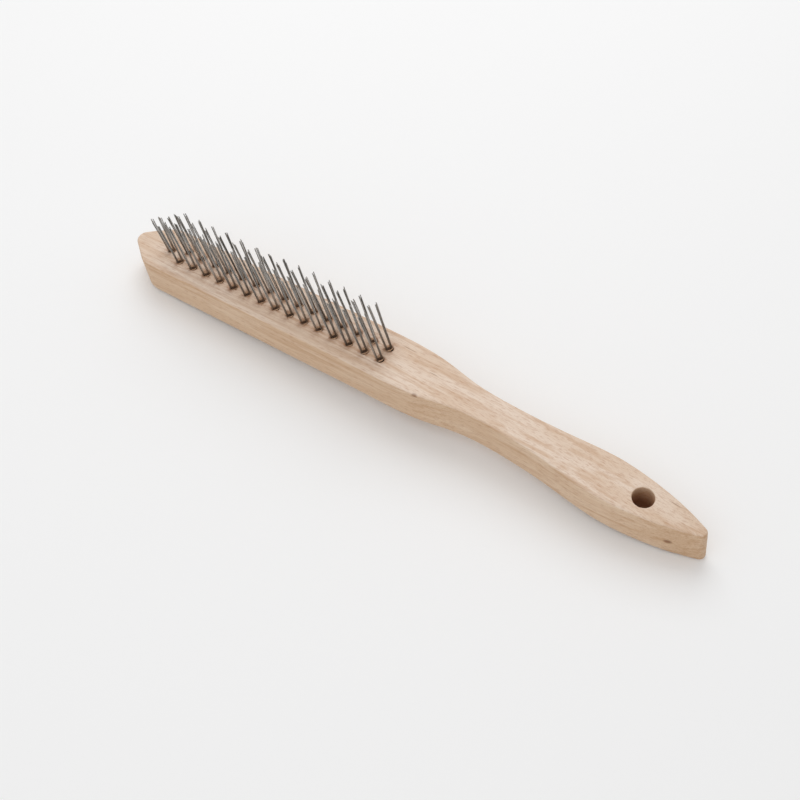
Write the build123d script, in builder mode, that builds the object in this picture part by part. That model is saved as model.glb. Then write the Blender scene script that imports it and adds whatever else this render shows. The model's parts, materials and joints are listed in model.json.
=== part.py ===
"""Two-row hand wire brush: beech block with a bent handle, steel tufts and hidden anchors.

Units are millimetres. +X runs from the nose to the handle tip, +Z points out of the bristles,
and the origin is on the flat back, on the centre line, below the middle of the bristle field.
"""
from build123d import *
import math
import os
import random

# Beech block
overall_length = 290.0
nose_x = -81.0
tip_x = nose_x + overall_length
block_thickness = 16.5
edge_radius = 1.0

# Plan outline, as half widths
head_half_width = 12.25
nose_facet_length = 13.5
nose_overshoot = 3.0
nose_facet_angle = math.atan2(head_half_width, nose_facet_length + nose_overshoot)
nose_radius = nose_overshoot / (1 / math.sin(nose_facet_angle) - 1)
nose_corner_radius = 12.0
head_end_x = 54.0
neck_x, neck_half_width = 85.0, 10.8
shoulder_x, shoulder_half_width = 100.0, 8.0
waist_x, waist_half_width = 119.0, 7.0
grip_x, grip_half_width = 145.0, 8.5
belly_x, belly_half_width = 168.5, 10.2
taper_x, taper_half_width = 187.0, 8.1
tip_radius = 2.6
tip_taper = math.radians(20)
tip_join = (tip_x - tip_radius * (1 - math.sin(tip_taper)), tip_radius * math.cos(tip_taper))

# Side profile: the handle bends down, away from the bristles
bend_start_x = 39.0
bend_radius = 790.0
bend_angle = 8.0
tail_length = 75.0

# Hang hole, square to the sloping end of the handle
hang_hole_x = 182.0
hang_hole_diameter = 9.0

# Bristle field: two rows in step, and one tuft on the centre line ahead of them
tufts_per_row = 15
tuft_pitch = 8.06
row_half_spacing = 3.25
first_pair_x = nose_x + 28.7
nose_tuft_x = first_pair_x - tuft_pitch
tuft_lean = 11.0
tuft_turn = 58.0

# Tuft holes and the flat anchors that hold the wires down
tuft_hole_radius = 1.6
tuft_hole_depth = 10.0
anchor_thickness = 0.5
anchor_width = 4.4
anchor_height = 1.8
anchor_depth = 8.2
anchor_drop = 0.4

# Wires: each is bent into a U round its anchor, so both of its ends stand out of the hole.
# A leg climbs the hole straight, then turns outward at a gentle knee just below the mouth.
wire_radius = 0.2
knee_depth = 1.0
knee_radius = 60.0
bend_radii = (0.76, 1.24)
wire_offsets = (-0.46, 0.0, 0.46)
leg_spread = 0.5
leg_growth = 1.15
side_growth = 1.2
tip_jitter = 0.05
wire_height = 24.0
first_pair_wire_height = 20.5
nose_wire_height = 18.0
height_jitter = 1.0

# Working values: how far a drill starts above the wood, and how closely a position must match
drill_clearance = 1.0
match_tolerance = 0.01


def tuft_plane(x, y):
    """Plane at a hole's mouth: Z along the leaning tuft, X from one half of the tuft to the other."""
    lean = math.radians(tuft_lean)
    turn = math.radians(tuft_turn)
    axis = Vector(-math.sin(lean), 0, math.cos(lean))
    across = Vector(math.cos(turn), math.sin(turn), 0)
    along = (across - axis * across.dot(axis)).normalized()
    return Plane(origin=(x, y, block_thickness), x_dir=along, z_dir=axis)


def pair_x(index):
    """Place of a pair of tufts along the block, counted from the nose."""
    return first_pair_x + tuft_pitch * index


def handle_axis_plane(x):
    """Plane on the straight, sloping top of the handle above x, with Z square to it."""
    slope = math.radians(bend_angle)
    top_radius = bend_radius + block_thickness
    arc_end_x = bend_start_x + top_radius * math.sin(slope)
    arc_end_z = block_thickness - top_radius * (1 - math.cos(slope))
    top_z = arc_end_z - (x - arc_end_x) * math.tan(slope)
    return Plane(
        origin=(x, 0, top_z),
        x_dir=(math.cos(slope), 0, -math.sin(slope)),
        z_dir=(math.sin(slope), 0, math.cos(slope)),
    )


def make_tuft(plane, height, seed):
    """One tuft: nested U-bent wires side by side, with slightly uneven tips."""
    rng = random.Random(seed)
    with BuildPart() as tuft:
        for bend in bend_radii:
            for offset in wire_offsets:
                legs = []
                for side in (-1, 1):
                    tip_x = side * (bend * leg_growth + leg_spread) + rng.uniform(-tip_jitter, tip_jitter)
                    tip_y = offset * side_growth + rng.uniform(-tip_jitter, tip_jitter)
                    tip_z = height + rng.uniform(-height_jitter, height_jitter)
                    foot = plane.from_local_coords((side * bend, offset, -anchor_depth))
                    knee = plane.from_local_coords((side * bend, offset, -knee_depth))
                    tip = plane.from_local_coords((tip_x, tip_y, tip_z))
                    legs.append((foot, knee, tip))
                first, second = legs
                lowest = plane.from_local_coords((0, offset, -anchor_depth - bend))
                with BuildLine() as centre_line:
                    FilletPolyline(first[2], first[1], first[0], radius=knee_radius)
                    ThreePointArc(first[0], lowest, second[0])
                    FilletPolyline(*second, radius=knee_radius)
                with BuildSketch(Plane(origin=first[2], z_dir=first[1] - first[2])):
                    Circle(wire_radius)
                sweep(path=centre_line.wires()[0])
    return tuft


def save(part, name):
    """Label one finished sub-part and write its STEP file."""
    part.label = name
    export_step(part, f"parts/{name}.step")


os.makedirs("parts", exist_ok=True)

tuft_planes = {"nose_tuft": tuft_plane(nose_tuft_x, 0)}
for row, side in (("left", -1), ("right", 1)):
    for index in range(tufts_per_row):
        name = f"{row}_row_tuft_{index + 1:02d}"
        tuft_planes[name] = tuft_plane(pair_x(index), side * row_half_spacing)

# Handle block: the bent side profile, trimmed to the plan outline, rounded and drilled
with BuildPart() as handle_block:
    with BuildSketch(Plane.XZ) as side_profile:
        with BuildLine():
            head_top = Line((nose_x - nose_overshoot, block_thickness), (bend_start_x, block_thickness))
            top_bend = JernArc(head_top @ 1, (1, 0), bend_radius + block_thickness, -bend_angle)
            top_tail = Line(top_bend @ 1, top_bend @ 1 + (top_bend % 1) * tail_length)
            head_back = Line((nose_x - nose_overshoot, 0), (bend_start_x, 0))
            back_bend = JernArc(head_back @ 1, (1, 0), bend_radius, -bend_angle)
            back_tail = Line(back_bend @ 1, back_bend @ 1 + (back_bend % 1) * tail_length)
            Line(head_top @ 0, head_back @ 0)
            Line(top_tail @ 1, back_tail @ 1)
        make_face()
    extrude(amount=head_half_width, both=True)
    with BuildSketch(Plane.XY.offset(-2 * block_thickness)) as plan:
        with BuildLine():
            nose_corner = (nose_x + nose_facet_length, head_half_width)
            facet = Line((nose_x - nose_overshoot, 0), nose_corner)
            flank = Line(nose_corner, (head_end_x, head_half_width))
            grip = Spline(
                (head_end_x, head_half_width),
                (neck_x, neck_half_width),
                (shoulder_x, shoulder_half_width),
                (waist_x, waist_half_width),
                (grip_x, grip_half_width),
                (belly_x, belly_half_width),
                (taper_x, taper_half_width),
                tip_join,
                tangents=((1, 0), (math.cos(tip_taper), -math.sin(tip_taper))),
            )
            mirror(about=Plane.XZ)
            ThreePointArc(tip_join, (tip_x, 0), (tip_join[0], -tip_join[1]))
        make_face()
        nose_vertex = plan.vertices().sort_by(Axis.X)[0]
        fillet(nose_vertex, nose_radius)
        corners = plan.vertices().filter_by(lambda vertex: abs(vertex.X - nose_corner[0]) < match_tolerance)
        fillet(corners, nose_corner_radius)
    extrude(amount=4 * block_thickness, mode=Mode.INTERSECT)
    level = math.cos(math.radians(2 * bend_angle))
    rim_faces = handle_block.faces().filter_by(lambda face: abs(face.normal_at().Z) > level)
    rim_edges = rim_faces.edges() - rim_faces.edges().filter_by(Axis.Y)
    fillet(rim_edges, edge_radius)
    for plane in tuft_planes.values():
        with Locations(plane.offset(drill_clearance)):
            Cylinder(
                tuft_hole_radius,
                tuft_hole_depth + drill_clearance,
                align=(Align.CENTER, Align.CENTER, Align.MAX),
                mode=Mode.SUBTRACT,
            )
        with Locations(plane.offset(-anchor_depth - anchor_drop)):
            Box(
                anchor_thickness,
                anchor_width,
                anchor_height,
                align=(Align.CENTER, Align.CENTER, Align.MIN),
                mode=Mode.SUBTRACT,
            )
    with Locations(handle_axis_plane(hang_hole_x)):
        Cylinder(hang_hole_diameter / 2, 3 * block_thickness, mode=Mode.SUBTRACT)
save(handle_block.part, "handle_block")

# Anchors: short flat strips across the foot of each hole, pressed into the wood at both ends
with BuildPart() as tuft_anchors:
    for plane in tuft_planes.values():
        with Locations(plane.offset(-anchor_depth - anchor_drop)):
            Box(
                anchor_thickness,
                anchor_width,
                anchor_height,
                align=(Align.CENTER, Align.CENTER, Align.MIN),
            )
save(tuft_anchors.part, "tuft_anchors")

# Tufts: the ones at the nose stand a little lower than the rest
front_heights = {
    "nose_tuft": nose_wire_height,
    "left_row_tuft_01": first_pair_wire_height,
    "right_row_tuft_01": first_pair_wire_height,
}
for seed, (name, plane) in enumerate(tuft_planes.items()):
    height = front_heights.get(name, wire_height)
    save(make_tuft(plane, height, seed).part, name)
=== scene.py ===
"""Looks of the two-row hand wire brush: beech block, steel wire tufts, pale studio floor.

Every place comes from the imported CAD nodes. The block is remeshed and worn, and the wires of each
tuft are built again in their hole, less evenly than in the CAD.
"""

import json
import math
import random

import bpy
import numpy as np
from mathutils import Matrix, Quaternion, Vector, noise


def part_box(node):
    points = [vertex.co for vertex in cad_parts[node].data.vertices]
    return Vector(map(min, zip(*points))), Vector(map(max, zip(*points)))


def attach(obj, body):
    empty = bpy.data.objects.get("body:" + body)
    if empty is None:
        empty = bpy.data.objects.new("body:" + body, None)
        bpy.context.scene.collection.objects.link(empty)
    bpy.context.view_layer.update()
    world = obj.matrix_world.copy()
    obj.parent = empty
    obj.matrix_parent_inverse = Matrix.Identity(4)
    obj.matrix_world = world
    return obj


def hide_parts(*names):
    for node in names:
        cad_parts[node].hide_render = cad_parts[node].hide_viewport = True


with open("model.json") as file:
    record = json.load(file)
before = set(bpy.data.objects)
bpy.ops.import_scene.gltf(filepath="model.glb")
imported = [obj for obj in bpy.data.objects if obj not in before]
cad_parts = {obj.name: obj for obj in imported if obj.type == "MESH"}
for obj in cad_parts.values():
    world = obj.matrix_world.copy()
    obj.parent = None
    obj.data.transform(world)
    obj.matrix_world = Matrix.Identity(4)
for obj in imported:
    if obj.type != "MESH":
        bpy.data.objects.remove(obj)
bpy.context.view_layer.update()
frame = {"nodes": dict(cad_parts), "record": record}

MM = 0.001
BLOCK_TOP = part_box("handle_block")[1].z

# Camera, looking down the brush from beyond the handle tip
CAMERA_TARGET = Vector((75.8, -11.7, 8.0)) * MM
CAMERA_DISTANCE = 551.0 * MM
CAMERA_AZIMUTH = math.radians(135.1)
CAMERA_ELEVATION = math.radians(50.9)
CAMERA_ROLL = math.radians(11.3)
CAMERA_LENS = 60.75
CAMERA_SENSOR = 36.0
CAMERA_CLIP_START = 0.01

# Studio: places in metres, powers in watts
WORLD_STRENGTH = 0.62
KEY_PLACE, KEY_POWER, KEY_SIZE = (-0.25, 0.55, 0.9), 4.4, 0.9
FILL_PLACE, FILL_POWER, FILL_SIZE = (0.2, -0.5, 0.85), 1.25, 0.8
LIGHT_AIM = Vector((60, 0, 0)) * MM
FLOOR_HALF_SIZE = 3.0
FLOOR_PAINT = (0.94, 0.94, 0.94, 1.0)
FLOOR_ROUGHNESS = 0.9
HANDLE_START = 100 * MM
STEEPEST_FLOOR = math.radians(8)
FLOOR_SEARCH_STEPS = 30

# Beech block: mesh, sanding marks and knocks. Noise scales are per metre along X, Y and Z.
VOXEL = 0.36 * MM
SMOOTHING = 2
SMOOTHING_FACTOR = 0.5
SANDING_HEIGHT = 0.09 * MM
SANDING_SCALE = (30, 90, 90)
FUZZ_HEIGHT = 0.02 * MM
FUZZ_SCALE = (160, 420, 420)
EDGE_SLOPES = (0.3, 0.9)
DENTS = 30
DENT_REACH = (0.7, 2.0)
DENT_DEPTH = (0.08, 0.26)
DENT_SEED = 7

# Tuft hole mouths: raised lips, dirt around them, and how far the tuft field reaches
HOLE_RADIUS = 1.6 * MM
LIP_WIDTH = 0.45 * MM
LIP_HEIGHT = 0.22 * MM
LIP_LIFT = 0.3
LIP_SCALE = (1400, 1400, 1400)
SMUDGE_REACH = 1.7 * MM
FIELD_DEPTH = 9 * MM
FIELD_MARGIN = 8 * MM
TOP_TOLERANCE = 0.5 * MM

# Hang hole: painted shade on its wall, darkest at the bottom
BORE_MARGIN = 0.4 * MM
BORE_FADE = 1.3
BORE_LIGHTEST = 0.12

# Plugs of torn fibres; "clear" rises from 0 at the wires to 1 further out: low "clear" sinks the plug and
# paints shade on it
PLUG_DEPTH = 0.5 * MM
PLUG_OVERLAP = 0.1 * MM
PLUG_ROUGHNESS = 0.12 * MM
PLUG_SCALE = 1500
PLUG_BOTTOM = 1.6 * MM
PLUG_RINGS = 6
PLUG_SIDES = 24
CLEAR_FROM = 0.7
CLEAR_SPAN = 0.5

# Slivers raised beside the holes, in millimetres and radians
SLIVERS = 70
SLIVER_SEED = 23
SLIVER_STEPS = 5
SLIVER_ROOT = 0.3
SLIVER_TURN = (0.9, 1.7)
SLIVER_LENGTH = (0.8, 2.4)
SLIVER_WIDTH = (0.1, 0.22)
SLIVER_CURL = (0.15, 0.6)
SLIVER_CURL_POWER = 1.6
SLIVER_SINK = 0.1
SLIVER_END = 0.05

# Tufts: nested U-bent wires, in millimetres
TUFT_LEAN = math.radians(11)
TUFT_TURN = math.radians(58)
FOOT_HEIGHT = 1.5 * MM
ANCHOR_DEPTH = 8.2
WIRE_RADIUS = 0.2
WIRE_HEIGHT = 24.0
BENDS = (0.76, 1.24)
OFFSETS = (-0.46, 0.0, 0.46)
LEG_SPREAD = 0.5
LEG_GROWTH = 1.1
LEG_FLARE = 1.6
SIDE_GROWTH = 1.05
TIP_SCATTER = 0.13
STRAY = 0.7
STRAY_SHARE = 0.1
HEIGHT_SCATTER = 1.0
WAVE = 0.08
WAVE_TURNS = (5, 4)
WAVE_START = 6.3
END_CUT = 0.5
BUNDLE_HALF_LENGTH = BENDS[-1] + 2 * WIRE_RADIUS
BUNDLE_HALF_WIDTH = OFFSETS[-1] + 2 * WIRE_RADIUS
LEG_STEPS = 16
BEND_STEPS = 8
SIDES = 10
SHARP_ANGLE = math.radians(50)


def rgb(red, green, blue):
    """Linear colour from 0..255 display values."""
    def linear(value):
        value = value / 255
        return value / 12.92 if value <= 0.04045 else ((value + 0.055) / 1.055) ** 2.4
    return (linear(red), linear(green), linear(blue), 1.0)


# Wood colours; the tints multiply the colour below them
PALE = rgb(232, 212, 194)
WARM = rgb(224, 200, 178)
STREAK = rgb(208, 176, 148)
FIBRE = rgb(196, 160, 132)
PORE = rgb(160, 118, 88)
FLECK = rgb(182, 134, 102)
# Painted shade: the block's sides are multiplied darker and yellower than its top
SIDE_SHADE_TINT = (0.925, 0.845, 0.72, 1.0)
TIP_TINT = (0.93, 0.9, 0.86, 1.0)
END_GRAIN = rgb(176, 136, 102)
SMUDGE = rgb(158, 102, 62)
# Painted shade for the hang hole's wall
PAINTED_BORE_SHADE = rgb(156, 100, 60)
MARK = rgb(132, 88, 58)
# Torn fibres: painted shade round the wires, then their own browns
TORN_PAINTED_SHADE = rgb(84, 58, 40)
TORN_BROWN = rgb(176, 132, 98)
TORN_LIGHT = rgb(206, 170, 140)

# Steel colours
RUST = rgb(112, 90, 72)
WIRE_DARK = rgb(124, 121, 117)
WIRE_LIGHT = rgb(204, 201, 196)
ANCHOR_DARK = rgb(150, 150, 150)
ANCHOR_LIGHT = rgb(185, 185, 182)

# Where the handle starts and ends to turn darker towards its tip, in millimetres
TIP_TINT_FROM = 178.0
TIP_TINT_TO = 204.0

# Natural marks in the wood: centre and half sizes in millimetres, strength
MARKS = (
    ((194.0, 4.4, 3.2), (4.6, 0.32, 1.5), 0.6),
    ((196.2, -6.5, -6.9), (2.4, 2.4, 1.5), 0.85),
    ((-70.0, -9.5, 14.5), (1.2, 1.6, 1.2), 0.5),
    ((68.0, 7.5, 16.5), (5.0, 0.35, 1.5), 0.55),
    ((84.0, 2.0, 15.4), (3.2, 0.3, 1.5), 0.5),
    ((83.3, -10.8, 14.8), (1.9, 1.6, 1.0), 0.6),
)


class Nodes:
    """Short calls for building one material's node tree."""

    def __init__(self, name):
        self.material = bpy.data.materials.new(name)
        self.material.use_nodes = True
        self.tree = self.material.node_tree
        self.shader = self.tree.nodes["Principled BSDF"]

    def add(self, kind, inputs=None, **settings):
        """Adds a node, sets its properties, and links or sets its inputs by name or number."""
        node = self.tree.nodes.new(kind)
        for key, value in settings.items():
            setattr(node, key, value)
        for key, value in (inputs or {}).items():
            self.feed(node.inputs[key], value)
        return node

    def feed(self, socket, value):
        """Links another node's output to a socket, or sets the socket to a plain value."""
        if isinstance(value, bpy.types.NodeSocket):
            self.tree.links.new(value, socket)
        else:
            socket.default_value = value

    def math(self, operation, first, second=0.0, third=0.0):
        node = self.add("ShaderNodeMath", {0: first, 1: second, 2: third}, operation=operation)
        return node.outputs[0]

    def attribute(self, name):
        """A value stored on the mesh's points."""
        return self.add("ShaderNodeAttribute", attribute_name=name).outputs["Fac"]

    def position(self, scale, offset=(0, 0, 0)):
        """Object coordinates in millimetres, scaled along each axis."""
        coords = self.add("ShaderNodeTexCoord").outputs["Object"]
        size = tuple(value / MM for value in scale)
        mapping = self.add("ShaderNodeMapping", {"Vector": coords, "Scale": size, "Location": offset})
        return mapping.outputs["Vector"]

    def noise(self, vector, detail=2.0, rough=0.5, distortion=0.0):
        """Noise around 0.5 with features about one unit of the vector across."""
        inputs = {"Vector": vector, "Scale": 1.0, "Detail": detail, "Roughness": rough}
        inputs["Distortion"] = distortion
        return self.add("ShaderNodeTexNoise", inputs).outputs["Fac"]

    def ramp(self, value, low, high, start=0.0, end=1.0):
        """Smooth step of value from low..high to start..end."""
        limits = {"Value": value, "From Min": low, "From Max": high, "To Min": start, "To Max": end}
        node = self.add("ShaderNodeMapRange", limits, interpolation_type="SMOOTHSTEP")
        return node.outputs["Result"]

    def spot(self, centre, radii):
        """1 in the middle of a small ellipsoid mark (millimetres), 0 from its edge outwards."""
        coords = self.add("ShaderNodeTexCoord").outputs["Object"]
        middle = {0: coords, 1: Vector(centre) * MM}
        away = self.add("ShaderNodeVectorMath", middle, operation="SUBTRACT")
        sizes = {0: away.outputs[0], 1: Vector(radii) * MM}
        scaled = self.add("ShaderNodeVectorMath", sizes, operation="DIVIDE")
        length = self.add("ShaderNodeVectorMath", {0: scaled.outputs[0]}, operation="LENGTH")
        return self.ramp(length.outputs["Value"], 1.0, 0.3)

    def mix(self, factor, first, second, blend="MIX"):
        """Colour mix: the first colour at factor 0, the second at factor 1."""
        node = self.add("ShaderNodeMix", data_type="RGBA", blend_type=blend)
        self.feed(node.inputs[0], factor)
        self.feed(node.inputs[6], first)
        self.feed(node.inputs[7], second)
        return node.outputs[2]

    def bump(self, height, strength, distance):
        """Fine relief on the shader's normal."""
        settings = {"Height": height, "Strength": strength, "Distance": distance}
        self.feed(self.shader.inputs["Normal"], self.add("ShaderNodeBump", settings).outputs["Normal"])


def beech_material():
    """Plain sanded beech: pale, fine lengthwise grain, short darker rays, brown smudges by the tufts."""
    nodes = Nodes("beech")

    # Grain, from broad bands to fine pores, drawn out along the block
    bands = nodes.noise(nodes.position((0.022, 0.16, 0.16), offset=(3.1, 0.4, 7.7)))
    streaks = nodes.noise(nodes.position((0.014, 0.42, 0.42)), detail=3.0, distortion=0.35)
    fibres = nodes.noise(nodes.position((0.11, 2.6, 2.6)), detail=4.0, rough=0.62)
    pores = nodes.noise(nodes.position((0.32, 5.2, 5.2)))
    color = nodes.mix(nodes.ramp(bands, 0.38, 0.62), PALE, WARM)
    color = nodes.mix(nodes.ramp(streaks, 0.46, 0.68, 0.0, 0.75), color, STREAK)
    color = nodes.mix(nodes.ramp(fibres, 0.48, 0.68, 0.0, 0.55), color, FIBRE)
    color = nodes.mix(nodes.ramp(pores, 0.58, 0.70, 0.0, 0.32), color, PORE)

    # Rays: short flecks in about half of the long cells of a Voronoi pattern
    rays = nodes.add("ShaderNodeTexVoronoi", {"Vector": nodes.position((0.24, 1.35, 1.35)), "Scale": 1.0})
    chosen = nodes.add("ShaderNodeSeparateColor", {0: rays.outputs["Color"]}).outputs[0]
    middle = nodes.ramp(rays.outputs["Distance"], 0.42, 0.16)
    fleck = nodes.math("MULTIPLY", middle, nodes.ramp(chosen, 0.52, 0.7))
    color = nodes.mix(nodes.math("MULTIPLY", fleck, 0.34), color, FLECK)

    # Painted shade: sides darker and yellower than the top; brown end grain, and a darker handle tip
    normal = nodes.add("ShaderNodeNewGeometry").outputs["Normal"]
    facing = nodes.add("ShaderNodeSeparateXYZ", {0: normal})
    side = nodes.ramp(nodes.math("ABSOLUTE", facing.outputs[2]), 0.88, 0.5)
    end_grain = nodes.ramp(nodes.math("ABSOLUTE", facing.outputs[0]), 0.35, 0.9)
    along = nodes.add("ShaderNodeSeparateXYZ", {0: nodes.position((1.0, 1.0, 1.0))}).outputs[0]
    near_tip = nodes.ramp(along, TIP_TINT_FROM, TIP_TINT_TO)
    color = nodes.mix(nodes.math("MULTIPLY", side, 0.85), color, SIDE_SHADE_TINT, blend="MULTIPLY")
    color = nodes.mix(nodes.math("MULTIPLY", end_grain, 0.25), color, END_GRAIN)
    color = nodes.mix(near_tip, color, TIP_TINT, blend="MULTIPLY")

    # Natural marks, dirt round the tuft holes, and painted shade on the wall of the hang hole
    for centre, radii, strength in MARKS:
        color = nodes.mix(nodes.math("MULTIPLY", nodes.spot(centre, radii), strength), color, MARK)
    patches = nodes.noise(nodes.position((0.45, 0.8, 0.8)), detail=3.0)
    patchy = nodes.math("MULTIPLY", nodes.attribute("stain"), nodes.ramp(patches, 0.38, 0.6, 0.25, 1.0))
    color = nodes.mix(nodes.math("MULTIPLY", patchy, 0.85), color, SMUDGE)
    # Painted shade inside the hang hole, darkest at the bottom
    color = nodes.mix(nodes.math("MULTIPLY", nodes.attribute("painted_bore_shade"), 0.9), color, PAINTED_BORE_SHADE)
    nodes.feed(nodes.shader.inputs["Base Color"], color)

    # Unvarnished: rough, with fibres and pores sunk a little
    nodes.feed(nodes.shader.inputs["Roughness"], nodes.ramp(fibres, 0.3, 0.7, 0.5, 0.68))
    nodes.shader.inputs["Specular IOR Level"].default_value = 0.3
    height = nodes.math("ADD", nodes.math("MULTIPLY", fibres, -0.5), nodes.math("MULTIPLY", pores, -0.4))
    nodes.bump(height, 0.5, 0.14 * MM)
    return nodes.material


def torn_wood_material():
    """Torn fibres at a hole's mouth: painted shade, dark round the wires, brown further out."""
    nodes = Nodes("torn_beech")
    strands = nodes.noise(nodes.position((3.0, 3.0, 3.0)), detail=3.0)
    fresh = nodes.mix(nodes.ramp(strands, 0.35, 0.65), TORN_BROWN, TORN_LIGHT)
    # Painted shade: the plug turns dark where "clear" is low, close to the wires
    color = nodes.mix(nodes.ramp(nodes.attribute("clear"), 0.05, 0.8), TORN_PAINTED_SHADE, fresh)
    nodes.feed(nodes.shader.inputs["Base Color"], color)
    nodes.shader.inputs["Roughness"].default_value = 0.85
    nodes.bump(strands, 0.7, 0.2 * MM)
    return nodes.material


def steel_material(name, dark, light):
    """Drawn steel: lengthwise draw marks, a different grey for each wire, rusty dirt at the foot."""
    nodes = Nodes(name)
    drawn = nodes.noise(nodes.position((4.0, 4.0, 0.35)), detail=3.0)
    skin = nodes.noise(nodes.position((0.6, 0.6, 0.6)), detail=3.0)
    grey = nodes.math("MULTIPLY_ADD", nodes.attribute("tone"), 0.7, nodes.math("MULTIPLY", drawn, 0.3))
    color = nodes.mix(grey, dark, light)
    color = nodes.mix(nodes.ramp(skin, 0.55, 0.8, 0.0, 0.5), color, RUST)
    color = nodes.mix(nodes.ramp(nodes.attribute("rise"), 0.22, 0.0, 0.0, 0.45), color, RUST)
    nodes.feed(nodes.shader.inputs["Base Color"], color)
    nodes.feed(nodes.shader.inputs["Roughness"], nodes.ramp(skin, 0.3, 0.7, 0.24, 0.42))
    nodes.shader.inputs["Metallic"].default_value = 1.0
    nodes.bump(drawn, 0.3, 0.03 * MM)
    return nodes.material


def floor_material():
    """Matt pale paint for the studio floor."""
    nodes = Nodes("floor_paint")
    nodes.shader.inputs["Base Color"].default_value = FLOOR_PAINT
    nodes.shader.inputs["Roughness"].default_value = FLOOR_ROUGHNESS
    return nodes.material


def link(name, data):
    """A new object in the scene."""
    thing = bpy.data.objects.new(name, data)
    bpy.context.scene.collection.objects.link(thing)
    return thing


def set_material(thing, material):
    """Gives an object one material in place of any it had."""
    thing.data.materials.clear()
    thing.data.materials.append(material)


def set_values(mesh, name, values):
    """Stores one number for each point, for the materials to read."""
    layer = mesh.attributes.new(name, "FLOAT", "POINT")
    layer.data.foreach_set("value", np.array(values, dtype=np.float32))


def add_piece(name, mesh, material):
    """A smooth-shaded piece of the brush, which is a single body."""
    mesh.shade_smooth()
    piece = link(name, mesh)
    set_material(piece, material)
    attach(piece, "root")
    return piece


def points_of(mesh):
    """The mesh's points as an array with one row for each point."""
    flat = np.empty(len(mesh.vertices) * 3, dtype=np.float32)
    mesh.vertices.foreach_get("co", flat)
    return flat.reshape(-1, 3).astype(float)


def ragged(points, scale):
    """Noise in -1..1 at each point, finer with a larger scale per metre along X, Y and Z."""
    return np.array([noise.noise(Vector(point)) for point in (points * np.array(scale)).tolist()])


def block_mesh():
    """A fine, even mesh of the CAD block, ready to be worn and dented."""
    source = link("block_source", frame["nodes"]["handle_block"].data.copy())
    remesh = source.modifiers.new("remesh", "REMESH")
    remesh.mode = "VOXEL"
    remesh.voxel_size = VOXEL
    soften = source.modifiers.new("soften", "SMOOTH")
    soften.factor = SMOOTHING_FACTOR
    soften.iterations = SMOOTHING
    evaluated = source.evaluated_get(bpy.context.evaluated_depsgraph_get())
    mesh = bpy.data.meshes.new_from_object(evaluated)
    bpy.data.objects.remove(source)
    return mesh


def knock_depth(points, rng):
    """Small round dents at some of the points, deepest in the middle."""
    depth = np.zeros(len(points))
    for _ in range(DENTS):
        centre = points[rng.randrange(len(points))]
        reach = rng.uniform(*DENT_REACH) * MM
        away = np.minimum(np.linalg.norm(points - centre, axis=1) / reach, 1.0)
        depth = np.maximum(depth, rng.uniform(*DENT_DEPTH) * MM * (1 - away ** 2) ** 2)
    return depth


def wear(points, normals):
    """Height of sanding marks and fuzz all over, less the knocks along the rounded edges."""
    height = SANDING_HEIGHT * ragged(points, SANDING_SCALE) + FUZZ_HEIGHT * ragged(points, FUZZ_SCALE)
    slope = np.abs(normals[:, 2])
    edges = (slope > EDGE_SLOPES[0]) & (slope < EDGE_SLOPES[1])
    height[edges] -= knock_depth(points[edges], random.Random(DENT_SEED))
    return height


def lips_and_stain(points, holes):
    """Height of the torn lips round the tuft holes, and how dirty each point near a hole is, 0 to 1."""
    mouths = np.array([tuple(matrix.translation) for matrix in holes])
    beside = points[:, 0] < mouths[:, 0].max() + FIELD_MARGIN
    near = beside & (points[:, 2] > BLOCK_TOP - FIELD_DEPTH)
    gaps = points[near][:, None, :2] - mouths[None, :, :2]
    away = np.linalg.norm(gaps, axis=2).min(axis=1)
    on_top = points[near][:, 2] > BLOCK_TOP - TOP_TOLERANCE
    ring = np.exp(-((away - HOLE_RADIUS) / LIP_WIDTH) ** 2) * on_top
    lips = np.zeros(len(points))
    lips[near] = ring * LIP_HEIGHT * (LIP_LIFT + ragged(points[near], LIP_SCALE))
    stain = np.zeros(len(points))
    stain[near] = np.exp(-np.maximum(away - HOLE_RADIUS, 0) / SMUDGE_REACH)
    return lips, stain


def bore_shade(points):
    """How much painted shade each point of the hang hole's wall gets, 0 to 1."""
    hole = next(mount for mount in frame["record"]["mounts"] if mount["name"] == "hang_hole")
    axis = np.array(hole["axis"])
    from_hole = points - np.array(hole["pos_m"])
    along = from_hole @ axis
    radial = np.linalg.norm(from_hole - along[:, None] * axis, axis=1)
    half_length = hole["dims"]["length_mm"] / 2 * MM
    inside = radial < hole["dims"]["r_mm"] * MM + BORE_MARGIN
    inside &= np.abs(along) < half_length - BORE_MARGIN
    return inside * np.clip((half_length - along) / (BORE_FADE * half_length), BORE_LIGHTEST, 1.0)


def build_block(holes):
    """The beech block: softened edges, sanding marks, knocks, torn hole mouths and smudges."""
    mesh = block_mesh()
    points = points_of(mesh)
    normals = np.array([tuple(normal.vector) for normal in mesh.vertex_normals])
    lips, stain = lips_and_stain(points, holes)
    painted_bore_shade = bore_shade(points)
    points += normals * (wear(points, normals) + lips)[:, None]
    mesh.vertices.foreach_set("co", points.astype(np.float32).ravel())
    set_values(mesh, "stain", stain)
    set_values(mesh, "painted_bore_shade", painted_bore_shade)
    block = add_piece("beech_block", mesh, beech_material())
    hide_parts("handle_block")
    return block


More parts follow.
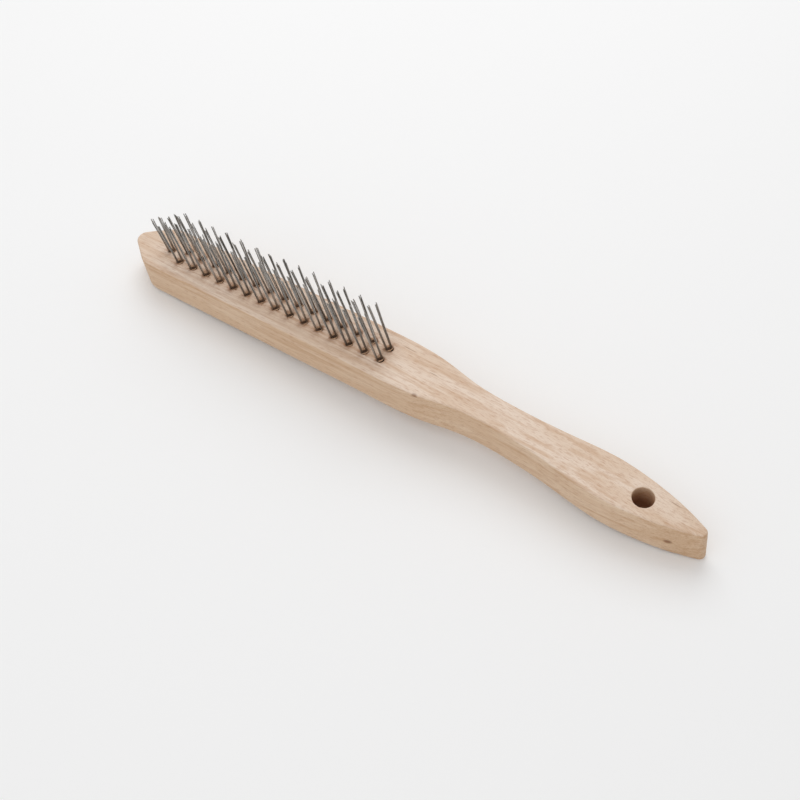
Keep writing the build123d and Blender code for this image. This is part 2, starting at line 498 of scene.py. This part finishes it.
def add_sliver(centre, rng, verts, faces):
    """A thin torn strip of wood that curls up beside a hole, pointed at its free end."""
    angle = rng.uniform(0, 2 * math.pi)
    outward = Vector((math.cos(angle), math.sin(angle), 0))
    root = centre + outward * (HOLE_RADIUS + rng.uniform(-SLIVER_ROOT, SLIVER_ROOT) * MM)
    heading = angle + rng.choice((-1, 1)) * rng.uniform(*SLIVER_TURN)
    run = Vector((math.cos(heading), math.sin(heading), 0))
    across = Vector((-run.y, run.x, 0))
    length = rng.uniform(*SLIVER_LENGTH) * MM
    width = rng.uniform(*SLIVER_WIDTH) * MM
    curl = rng.uniform(*SLIVER_CURL) * MM
    base = len(verts)
    for step in range(SLIVER_STEPS + 1):
        share = step / SLIVER_STEPS
        rise = curl * share ** SLIVER_CURL_POWER - SLIVER_SINK * MM
        middle = root + run * length * share + Vector((0, 0, rise))
        half = across * width * (1 + SLIVER_END - share)
        verts.extend((tuple(middle - half), tuple(middle + half), tuple(middle + Vector((0, 0, width)))))
    for step in range(SLIVER_STEPS):
        a = base + 3 * step
        for k in range(3):
            following = (k + 1) % 3
            faces.append((a + k, a + following, a + 3 + following, a + 3 + k))
    faces.append((base + 2, base + 1, base))
    faces.append(tuple(base + 3 * SLIVER_STEPS + k for k in range(3)))


def add_plug(matrix, verts, faces, clears):
    """A closed plug of torn fibres: flush with the wood at its rim, sunk round the wires."""
    base = len(verts)
    centre = matrix.translation
    inverse = matrix.inverted()
    verts.append(tuple(centre - Vector((0, 0, PLUG_DEPTH))))
    clears.append(0.0)
    for ring in range(1, PLUG_RINGS + 1):
        radius = ring / PLUG_RINGS * (HOLE_RADIUS + PLUG_OVERLAP)
        for k in range(PLUG_SIDES):
            angle = 2 * math.pi * k / PLUG_SIDES
            place = centre + Vector((math.cos(angle), math.sin(angle), 0)) * radius
            local = (inverse @ place) / MM
            reach = math.hypot(local.x / BUNDLE_HALF_LENGTH, local.y / BUNDLE_HALF_WIDTH)
            clear = min(max((reach - CLEAR_FROM) / CLEAR_SPAN, 0.0), 1.0)
            lift = PLUG_DEPTH * clear + PLUG_ROUGHNESS * noise.noise(place * PLUG_SCALE)
            verts.append((place.x, place.y, place.z - PLUG_DEPTH + lift))
            clears.append(clear)
    verts.append(tuple(centre - Vector((0, 0, PLUG_BOTTOM))))
    clears.append(0.0)
    bottom = len(verts) - 1
    rim = base + 1 + (PLUG_RINGS - 1) * PLUG_SIDES
    for k in range(PLUG_SIDES):
        following = (k + 1) % PLUG_SIDES
        faces.append((base, base + 1 + k, base + 1 + following))
        faces.append((bottom, rim + following, rim + k))
        for ring in range(PLUG_RINGS - 1):
            a = base + 1 + ring * PLUG_SIDES
            b = a + PLUG_SIDES
            faces.append((a + k, b + k, b + following, a + following))


def build_mouth_fibres(holes):
    """Torn fibres that close every tuft hole round its wires, and slivers raised beside some."""
    verts = []
    faces = []
    rng = random.Random(SLIVER_SEED)
    for _ in range(SLIVERS):
        add_sliver(rng.choice(holes).translation, rng, verts, faces)
    clears = [1.0] * len(verts)
    for matrix in holes:
        add_plug(matrix, verts, faces, clears)
    mesh = bpy.data.meshes.new("mouth_fibres")
    mesh.from_pydata(verts, [], faces)
    set_values(mesh, "clear", clears)
    add_piece("mouth_fibres", mesh, torn_wood_material())


def hole_frame(node):
    """A tuft's own axes: origin at its hole's mouth, Z along the tuft, X across its two halves."""
    axis = Vector((-math.sin(TUFT_LEAN), 0, math.cos(TUFT_LEAN)))
    across = Vector((math.cos(TUFT_TURN), math.sin(TUFT_TURN), 0))
    x_dir = (across - axis * across.dot(axis)).normalized()
    y_dir = axis.cross(x_dir)
    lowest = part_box(node.name)[0].z
    bends = [vertex.co for vertex in node.data.vertices if vertex.co.z < lowest + FOOT_HEIGHT]
    foot = sum(bends, Vector()) / len(bends)
    matrix = Matrix((x_dir, y_dir, axis)).transposed().to_4x4()
    matrix.translation = foot + axis * ((BLOCK_TOP - foot.z) / axis.z)
    return matrix


def leg_path(side, bend, offset, height, rng):
    """Centre line of one leg from its bend to its tip; it flares outward and waves a little."""
    reach = height + rng.uniform(-1, 1) * HEIGHT_SCATTER
    stray = STRAY if rng.random() < STRAY_SHARE else TIP_SCATTER
    foot_x = side * bend
    tip_x = side * (bend * LEG_GROWTH + LEG_SPREAD) + rng.uniform(-1, 1) * stray
    tip_y = offset * SIDE_GROWTH + rng.uniform(-1, 1) * stray
    wave_x = rng.uniform(0, WAVE_START)
    wave_y = rng.uniform(0, WAVE_START)
    leg = []
    for step in range(LEG_STEPS + 1):
        share = step / LEG_STEPS
        flare = LEG_FLARE * share ** 2 + (1 - LEG_FLARE) * share ** 3
        sway = WAVE * share
        leg.append(Vector((
            foot_x + (tip_x - foot_x) * flare + sway * math.sin(WAVE_TURNS[0] * share + wave_x),
            offset + (tip_y - offset) * flare + sway * math.sin(WAVE_TURNS[1] * share + wave_y),
            -ANCHOR_DEPTH + (reach + ANCHOR_DEPTH) * share,
        )))
    return leg


def wire_path(bend, offset, height, rng):
    """Centre line of one U-bent wire from tip to tip, in its tuft's own millimetres."""
    path = leg_path(-1, bend, offset, height, rng)[::-1]
    for step in range(1, BEND_STEPS):
        turn = math.pi * (1 + step / BEND_STEPS)
        path.append(Vector((bend * math.cos(turn), offset, -ANCHOR_DEPTH + bend * math.sin(turn))))
    return path + leg_path(1, bend, offset, height, rng)


class WireMesh:
    """Points, faces and shading values of one tuft, gathered wire by wire."""

    def __init__(self, matrix):
        self.matrix = matrix
        self.verts = []
        self.faces = []
        self.tones = []
        self.rises = []

    def sweep(self, path, rng):
        """Adds one round wire with chisel-cut ends; its path is in the tuft's own millimetres."""
        base = len(self.verts)
        last = len(path) - 1
        tone = rng.random()
        cuts = {0: rng.uniform(-END_CUT, END_CUT), last: rng.uniform(-END_CUT, END_CUT)}
        for index, point in enumerate(path):
            ahead = (path[min(index + 1, last)] - path[max(index - 1, 0)]).normalized()
            across = ahead.cross(Vector((0, 1, 0))).normalized()
            up = across.cross(ahead)
            for k in range(SIDES):
                angle = 2 * math.pi * k / SIDES
                spoke = (across * math.cos(angle) + up * math.sin(angle)) * WIRE_RADIUS
                if index in cuts:
                    spoke += ahead * (spoke.x * cuts[index])
                self.verts.append(self.matrix @ ((point + spoke) * MM))
                self.tones.append(tone)
                self.rises.append(max(0.0, point.z) / WIRE_HEIGHT)
        for ring in range(last):
            for k in range(SIDES):
                a = base + ring * SIDES + k
                b = base + ring * SIDES + (k + 1) % SIDES
                self.faces.append((a, a + SIDES, b + SIDES, b))
        self.faces.append(tuple(base + k for k in range(SIDES)))
        self.faces.append(tuple(base + last * SIDES + k for k in reversed(range(SIDES))))

    def data(self, name):
        """The gathered wires as a Blender mesh."""
        mesh = bpy.data.meshes.new(name)
        mesh.from_pydata(self.verts, [], self.faces)
        set_values(mesh, "tone", self.tones)
        set_values(mesh, "rise", self.rises)
        return mesh


def build_tuft(name, matrix, seed, material):
    """One tuft of U-bent wires in place of its CAD node."""
    rng = random.Random(seed)
    height = (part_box(name)[1].z - BLOCK_TOP) / math.cos(TUFT_LEAN) / MM - HEIGHT_SCATTER
    wires = WireMesh(matrix)
    for bend in BENDS:
        for offset in OFFSETS:
            wires.sweep(wire_path(bend, offset, height, rng), rng)
    tuft = add_piece(name + "_wires", wires.data(name + "_wires"), material)
    tuft.data.set_sharp_from_angle(angle=SHARP_ANGLE)
    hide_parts(name)


def floor_tilt(points):
    """Angle and height at x = 0 of a floor that touches both the nose end and the handle."""
    front = points[points[:, 0] < 0]
    rear = points[points[:, 0] > HANDLE_START]
    low = 0.0
    high = STEEPEST_FLOOR
    for _ in range(FLOOR_SEARCH_STEPS):
        middle = (low + high) / 2
        front_height = (front[:, 2] + front[:, 0] * math.tan(middle)).min()
        rear_height = (rear[:, 2] + rear[:, 0] * math.tan(middle)).min()
        if front_height > rear_height:
            low = middle
        else:
            high = middle
    return middle, min(front_height, rear_height)


def add_floor(points):
    """A wide pale floor, tilted so that the brush lies on it."""
    angle, height = floor_tilt(points)
    size = FLOOR_HALF_SIZE
    mesh = bpy.data.meshes.new("floor")
    corners = [(-size, -size, 0), (size, -size, 0), (size, size, 0), (-size, size, 0)]
    mesh.from_pydata(corners, [], [(0, 1, 2, 3)])
    floor = link("floor", mesh)
    floor.rotation_euler.y = angle
    floor.location.z = height
    set_material(floor, floor_material())


def add_camera():
    """The camera looks down the brush from beyond the handle tip, a little rolled."""
    view = Vector((
        math.cos(CAMERA_AZIMUTH) * math.cos(CAMERA_ELEVATION),
        math.sin(CAMERA_AZIMUTH) * math.cos(CAMERA_ELEVATION),
        -math.sin(CAMERA_ELEVATION),
    ))
    data = bpy.data.cameras.new("camera")
    data.lens = CAMERA_LENS
    data.sensor_width = CAMERA_SENSOR
    data.clip_start = CAMERA_CLIP_START
    camera = link("camera", data)
    camera.rotation_mode = "QUATERNION"
    camera.rotation_quaternion = view.to_track_quat("-Z", "Y") @ Quaternion((0, 0, 1), -CAMERA_ROLL)
    camera.location = CAMERA_TARGET - view * CAMERA_DISTANCE
    bpy.context.scene.camera = camera


def add_light(name, place, power, size):
    """A square soft box aimed at the middle of the brush."""
    data = bpy.data.lights.new(name, "AREA")
    data.size = size
    data.energy = power
    lamp = link(name, data)
    lamp.location = place
    lamp.rotation_euler = (LIGHT_AIM - Vector(place)).to_track_quat("-Z", "Y").to_euler()


def add_world():
    """Even white light from all round."""
    world = bpy.data.worlds.new("world")
    world.use_nodes = True
    background = world.node_tree.nodes["Background"]
    background.inputs["Color"].default_value = (1, 1, 1, 1)
    background.inputs["Strength"].default_value = WORLD_STRENGTH
    bpy.context.scene.world = world


# The brush
tuft_names = sorted(name for name in frame["nodes"] if "tuft" in name and name != "tuft_anchors")
holes = [hole_frame(frame["nodes"][name]) for name in tuft_names]
block = build_block(holes)
build_mouth_fibres(holes)
wire_steel = steel_material("bristle_steel", WIRE_DARK, WIRE_LIGHT)
for seed, (name, matrix) in enumerate(zip(tuft_names, holes)):
    build_tuft(name, matrix, seed, wire_steel)
set_material(frame["nodes"]["tuft_anchors"], steel_material("anchor_steel", ANCHOR_DARK, ANCHOR_LIGHT))

# The studio
add_floor(points_of(block.data))
add_camera()
add_world()
add_light("key", KEY_PLACE, KEY_POWER, KEY_SIZE)
add_light("fill", FILL_PLACE, FILL_POWER, FILL_SIZE)
bpy.context.scene.view_settings.view_transform = "Standard"
